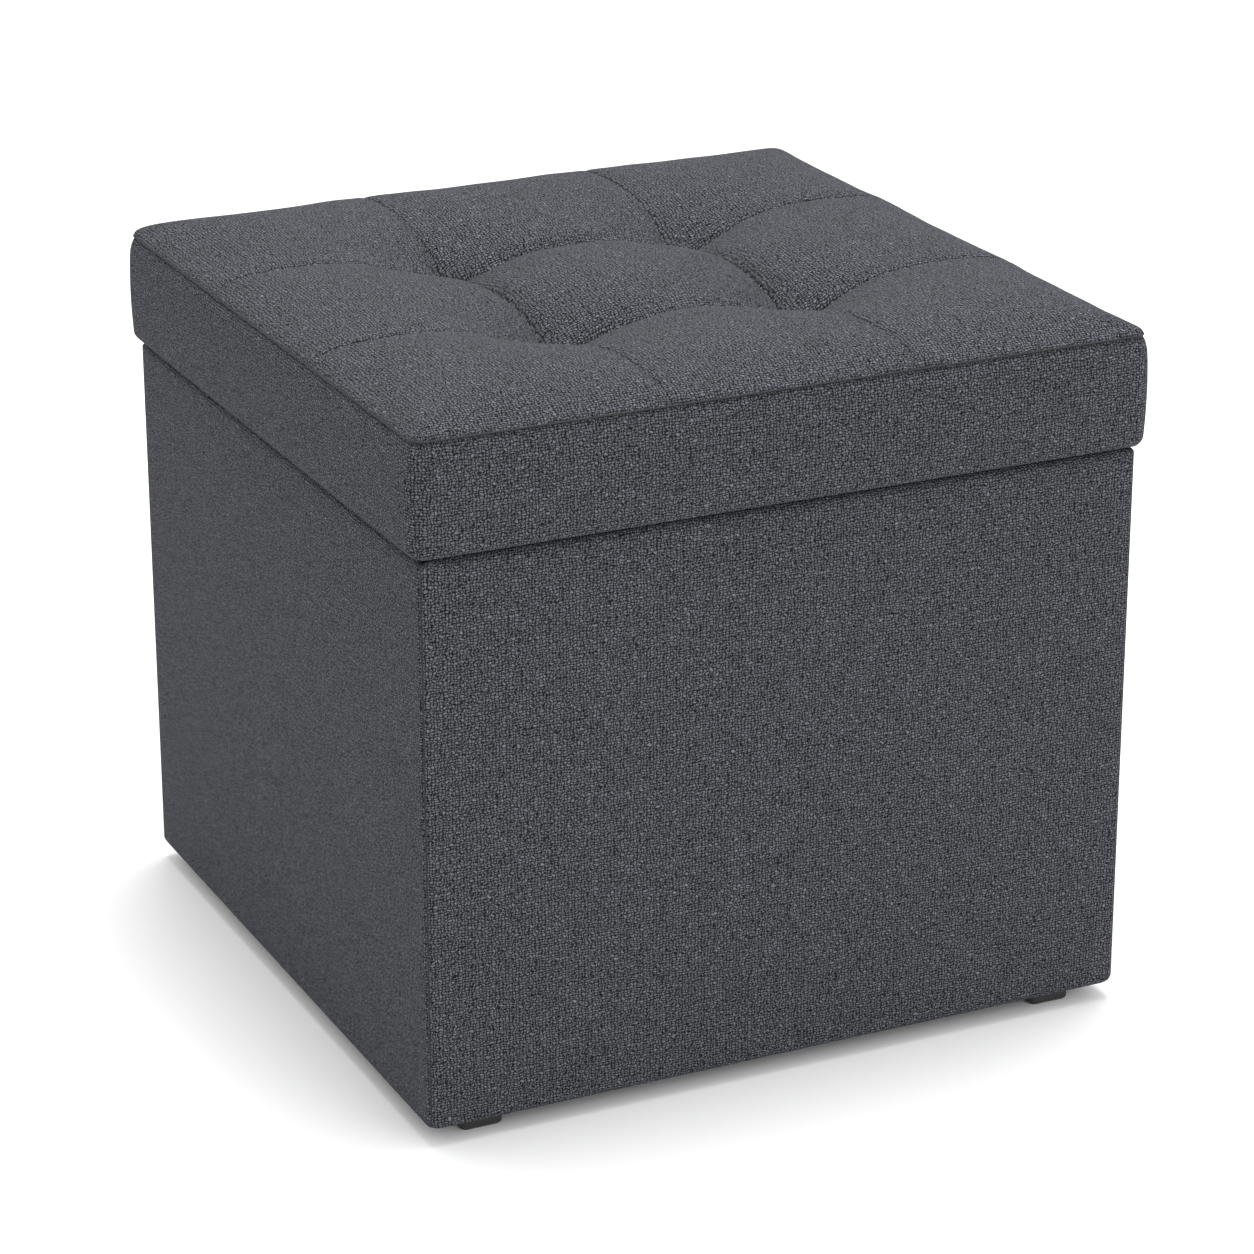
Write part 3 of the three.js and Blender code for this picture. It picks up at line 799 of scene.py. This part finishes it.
def is_held(u, v):
    by_seam = min(CUT_X - abs(u), CUT_Y - abs(v)) < HELD_BY_SEAM
    by_line = min(abs(abs(u) - TUFT_X), abs(abs(v) - TUFT_Y)) < HELD_BY_LINE
    by_tuft = min(math.hypot(u - x, v - y) for x, y in TUFTS) < HELD_BY_TUFT
    return by_seam or by_line or by_tuft


def swell(piece, held):
    group = piece.vertex_groups.new(name="held")
    group.add(held, 1.0, "REPLACE")
    cloth = piece.modifiers.new("swell", "CLOTH")
    settings = cloth.settings
    settings.vertex_group_mass = "held"
    settings.quality = 7
    settings.mass = 0.002
    settings.use_pressure = True
    settings.uniform_pressure_force = 1.8
    settings.tension_stiffness = settings.compression_stiffness = 6.0
    settings.shear_stiffness = 2.0
    settings.bending_stiffness = 0.02
    settings.shrink_min = -0.005
    settings.effector_weights.gravity = 0.0
    cloth.collision_settings.use_collision = False
    cloth.point_cache.frame_end = FRAMES
    for frame_number in range(1, FRAMES + 1):
        bpy.context.scene.frame_set(frame_number)
    settled = piece.evaluated_get(bpy.context.evaluated_depsgraph_get())
    places = np.array([v.co for v in settled.data.vertices])
    piece.modifiers.remove(cloth)
    piece.vertex_groups.remove(group)
    bpy.context.scene.frame_set(1)
    return places


held = [i * len(vs) + j for i, u in enumerate(us) for j, v in enumerate(vs) if is_held(u, v)]
before = resting.reshape(-1, 3)
moved = swell(top, held) - before
far = np.linalg.norm(moved, axis=1, keepdims=True)
capped = (moved * np.minimum(1.0, SWELL_CAP / np.maximum(far, 1e-9))).reshape(resting.shape)
free = np.ones(resting.shape[0] * resting.shape[1])
free[held] = 0.0
free = free.reshape(resting.shape[:2])[1:-1, 1:-1, None]
for _ in range(SMOOTHING):
    around = capped[2:, 1:-1] + capped[:-2, 1:-1] + capped[1:-1, 2:] + capped[1:-1, :-2]
    capped[1:-1, 1:-1] = free * (capped[1:-1, 1:-1] / 2 + around / 8)
resting = resting + capped
top.data.vertices.foreach_set("co", resting.ravel())
top.data.update()
print("cloth moved up to", round(far.max() / MM, 1), "mm and", round(far.mean() / MM, 2), "mm on average")

# %% [markdown]
# ## Stitched lines
# The thread of each line bites into the cloth, so a narrow crease runs along it. The swollen panel is
# subdivided once and the crease pressed in by the distance from the line on the cut cloth. A solidify
# modifier then gives the cloth its thickness.

# %% Crease and thickness
CREASE_DEPTH = 1.6 * MM
CREASE_WIDTH = 1.5 * MM
CREASE_FADE = 8.0 * MM      # the crease runs out over this distance from the seam
TOP_CLOTH = 1.4 * MM


def apply_modifiers(piece):
    solid = bpy.data.meshes.new_from_object(piece.evaluated_get(bpy.context.evaluated_depsgraph_get()))
    piece.modifiers.clear()
    old, piece.data = piece.data, solid
    bpy.data.meshes.remove(old)


finer = top.modifiers.new("finer", "SUBSURF")
finer.levels = finer.render_levels = 1
finer.uv_smooth = "NONE"
apply_modifiers(top)
places_on_cut = np.zeros((len(top.data.vertices), 2))
for loop, uv in zip(top.data.loops, top.data.uv_layers["cut"].data):
    places_on_cut[loop.vertex_index] = uv.uv
for vertex, (u, v) in zip(top.data.vertices, places_on_cut):
    to_line = min(abs(abs(u) - TUFT_X), abs(abs(v) - TUFT_Y))
    near_seam = min(1.0, min(CUT_X - abs(u), CUT_Y - abs(v)) / CREASE_FADE)
    vertex.co.z -= CREASE_DEPTH * near_seam * math.exp(-((to_line / CREASE_WIDTH) ** 1.3))
thickness = top.modifiers.new("cloth thickness", "SOLIDIFY")
thickness.thickness = TOP_CLOTH
thickness.offset = -1.0
apply_modifiers(top)
top.data.shade_smooth()
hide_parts("seat_top_cover")
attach(top, "lid")
print("top panel has", len(top.data.polygons), "faces")

# %% [markdown]
# ## Foam
# The block of foam is hidden under the cover and follows it, a little lower. It is made from every third
# place of the swollen panel, closed by a flat underside just above the lid's board.

# %% Foam under the cover
FOAM_UNDER = 3.4 * MM
FOAM_INSIDE = 2.6 * MM
FOAM_OVER_BOARD = 0.3 * MM

inwards = 1 - FOAM_INSIDE / LID_X
upper = resting[2:-2:3, 2:-2:3] * (inwards, inwards, 1) - (0, 0, FOAM_UNDER)
lower = upper.copy()
lower[:, :, 2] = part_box("lid_board")[1].z + FOAM_OVER_BOARD
block = np.concatenate([upper, lower[:, ::-1]], axis=1)
foam_cut = [[(p[0], p[1] + p[2]) for p in [*row, row[0]]] for row in block]
foam = grid_mesh("seat_foam_block", block, foam_cut, foam_finish, loop_columns=True, caps=True)
face_outwards(foam)
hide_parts("seat_foam")
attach(foam, "lid")
print("foam block has", len(foam.data.polygons), "faces")

# %% [markdown]
# ## Stitches
# A stitch shows as a short length of thread that dips into the cloth at both ends. A capsule is that
# shape. The lines follow the swollen panel, sunk to the bottom of the crease, and their near-black thread
# paints the crease's shade as a fine dark line.

# %% Stitches
STITCH = 2.7 * MM
STITCH_PITCH = 3.6 * MM
THREAD_RADIUS = 0.28 * MM


def capsule(start, end, radius, sides=6):
    """Rings of a small thread capsule from start to end."""
    start, end = Vector(start), Vector(end)
    along = (end - start).normalized()
    aside = along.cross(Vector((0, 0, 1))).normalized()
    rings = []
    for share, size in ((0.0, 0.25), (0.08, 0.75), (0.25, 1.0), (0.75, 1.0), (0.92, 0.75), (1.0, 0.25)):
        rings.append(ring(start.lerp(end, share), aside, aside.cross(along), radius * size, sides))
    return rings


def stitched_line(points, raise_by):
    """Capsules along a line of points at the stitch pitch."""
    walked = lengths([tuple(p) for p in points])
    out = []
    for k in range(int(walked[-1] / STITCH_PITCH)):
        ends = [k * STITCH_PITCH, k * STITCH_PITCH + STITCH]
        start, end = [[np.interp(e, walked, points[:, axis]) for axis in range(3)] for e in ends]
        start[2] += raise_by
        end[2] += raise_by
        out.append(capsule(start, end, THREAD_RADIUS))
    return out


def stitches_mesh(name, all_rings, finish):
    vertices, faces = [], []
    for rings in all_rings:
        base, sides = len(vertices), len(rings[0])
        vertices += [p for circle in rings for p in circle]
        for i in range(len(rings) - 1):
            for j in range(sides):
                k = (j + 1) % sides
                faces.append([base + i * sides + j, base + i * sides + k, base + (i + 1) * sides + k,
                              base + (i + 1) * sides + j])
        faces.append([base + j for j in range(sides - 1, -1, -1)])
        faces.append([base + (len(rings) - 1) * sides + j for j in range(sides)])
    mesh = bpy.data.meshes.new(name)
    mesh.from_pydata(vertices, [], faces)
    mesh.shade_smooth()
    mesh.materials.append(finish)
    piece = bpy.data.objects.new(name, mesh)
    bpy.context.scene.collection.objects.link(piece)
    return face_outwards(piece)


line_rings = []
for line in (-1, 1):
    i = int(np.argmin(abs(us - line * TUFT_X)))
    j = int(np.argmin(abs(vs - line * TUFT_Y)))
    line_rings += stitched_line(resting[i, 1:-1], -CREASE_DEPTH)
    line_rings += stitched_line(resting[1:-1, j], -CREASE_DEPTH)
stitches = stitches_mesh("grid_line_stitches", line_rings, dark_thread_as_seam_shade)
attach(stitches, "lid")
print(len(line_rings), "stitches along the four lines")

# %% [markdown]
# ## Lining and under-cloths
# The storage space is lined with a spun-bonded sleeve, folded at its top edge and topstitched to the
# cover's flap, with a separate floor piece. The same cloth closes the underside of the box and of the
# lid, where it is stapled. Each is two faces a little apart, with the slack of cloth that is only
# pulled over.

# %% Lining sleeve
LINING = 1.0 * MM
LINING_HEM = 12.0 * MM
LINING_SLACK = 0.45 * MM
LINING_CORNER = 3.0 * MM
LINING_STEP = 9.0 * MM


def lining_sleeve():
    low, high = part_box("lining_walls")
    face = spaced([(0.0, low.z), (0.0, high.z)], LINING_STEP)
    inner = [(LINING + (0.5 * MM if high.z - h < LINING_HEM else 0.0), h) for _, h in face[::-1]]
    outline = face + inner
    places, outs = rounded_path(high.x, high.y, LINING_CORNER, 8.0 * MM)
    around = lengths(places, closed=True)
    rows = []
    for (x, y), (ox, oy) in zip(places, outs):
        row = []
        for inset, height in outline:
            slack = LINING_SLACK * (1 + noise.noise((x * 22, y * 22, height * 14))) if inset > 0 else 0.0
            row.append((x - ox * (inset + slack), y - oy * (inset + slack), height))
        rows.append(row)
    cut = [[(d, w) for w in lengths(outline, closed=True)] for d in around]
    sleeve = grid_mesh("storage_lining", np.array(rows), cut, lining_finish,
                       loop_rows=True, loop_columns=True)
    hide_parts("lining_walls")
    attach(sleeve, "box")
    return face_outwards(sleeve)


lining = lining_sleeve()
print("lining sleeve:", len(lining.data.polygons), "faces")


# %% Flat cloths
RIPPLE_FADE = 25.0 * MM     # the cloth lies flat at its stapled edges


def laid_cloth(name, node, body, slack):
    """A flat sheet in a node's space, its lower and upper face rippling together."""
    low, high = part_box(node)
    columns = spaced([(low.y, 0), (high.y, 0)], LINING_STEP)
    lines = spaced([(low.x, 0), (high.x, 0)], LINING_STEP)
    rows, cut = [], []
    for x, _ in lines:
        ripple = [slack * noise.noise((x * 16, y * 16, 3.0)) * edge_fade(x, y, low, high) for y, _ in columns]
        lower = [(x, y, low.z + slack + r) for (y, _), r in zip(columns, ripple)]
        upper = [(x, y, high.z - slack + r) for (y, _), r in zip(columns, ripple)]
        rows.append(lower + upper[::-1])
        cut.append([(p[0], p[1]) for p in lower + upper[::-1] + lower[:1]])
    cloth = grid_mesh(name, np.array(rows), cut, lining_finish, loop_columns=True, caps=True)
    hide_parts(node)
    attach(cloth, body)
    return face_outwards(cloth)


def edge_fade(x, y, low, high):
    return min(1.0, min(x - low.x, high.x - x, y - low.y, high.y - y) / RIPPLE_FADE)


laid_cloth("storage_floor_lining", "lining_floor", "box", 0.2 * MM)
laid_cloth("box_under_cloth", "dust_cloth", "box", 0.12 * MM)
laid_cloth("lid_lower_cloth", "lid_under_cloth", "lid", 0.12 * MM)
print("flat cloths laid: 3")

# %% [markdown]
# ## Light and floor
# A plain pale floor and soft light from all round, a little stronger from above, so that the top reads
# lighter than the sides and the tufts stay soft.

# %% Light
world = bpy.data.worlds.new("studio")
bpy.context.scene.world = world
world.use_nodes = True
world.node_tree.nodes["Background"].inputs["Color"].default_value = (1, 1, 1, 1)
world.node_tree.nodes["Background"].inputs["Strength"].default_value = 1.04
bpy.context.scene.view_settings.view_transform = "Standard"


def soft_light(name, place, size, power):
    light = bpy.data.objects.new(name, bpy.data.lights.new(name, "AREA"))
    light.data.shape = "SQUARE"
    light.data.size = size
    light.data.energy = power
    light.location = place
    light.rotation_euler = (Vector((0, 0, 0.2)) - Vector(place)).to_track_quat("-Z", "Y").to_euler()
    bpy.context.scene.collection.objects.link(light)


soft_light("overhead", (0.2, 0.2, 2.3), 1.3, 43)
soft_light("front_fill", (0.6, -2.6, 1.4), 1.6, 18)

# %% Floor
pale, wire, shader = new_finish("pale_floor", 0.8)
shader.inputs["Base Color"].default_value = (0.94, 0.94, 0.94, 1)
floor_mesh = bpy.data.meshes.new("floor")
floor_mesh.from_pydata([(-6, -6, 0), (6, -6, 0), (6, 6, 0), (-6, 6, 0)], [], [(0, 1, 2, 3)])
floor_mesh.materials.append(pale)
floor = bpy.data.objects.new("floor", floor_mesh)
bpy.context.scene.collection.objects.link(floor)
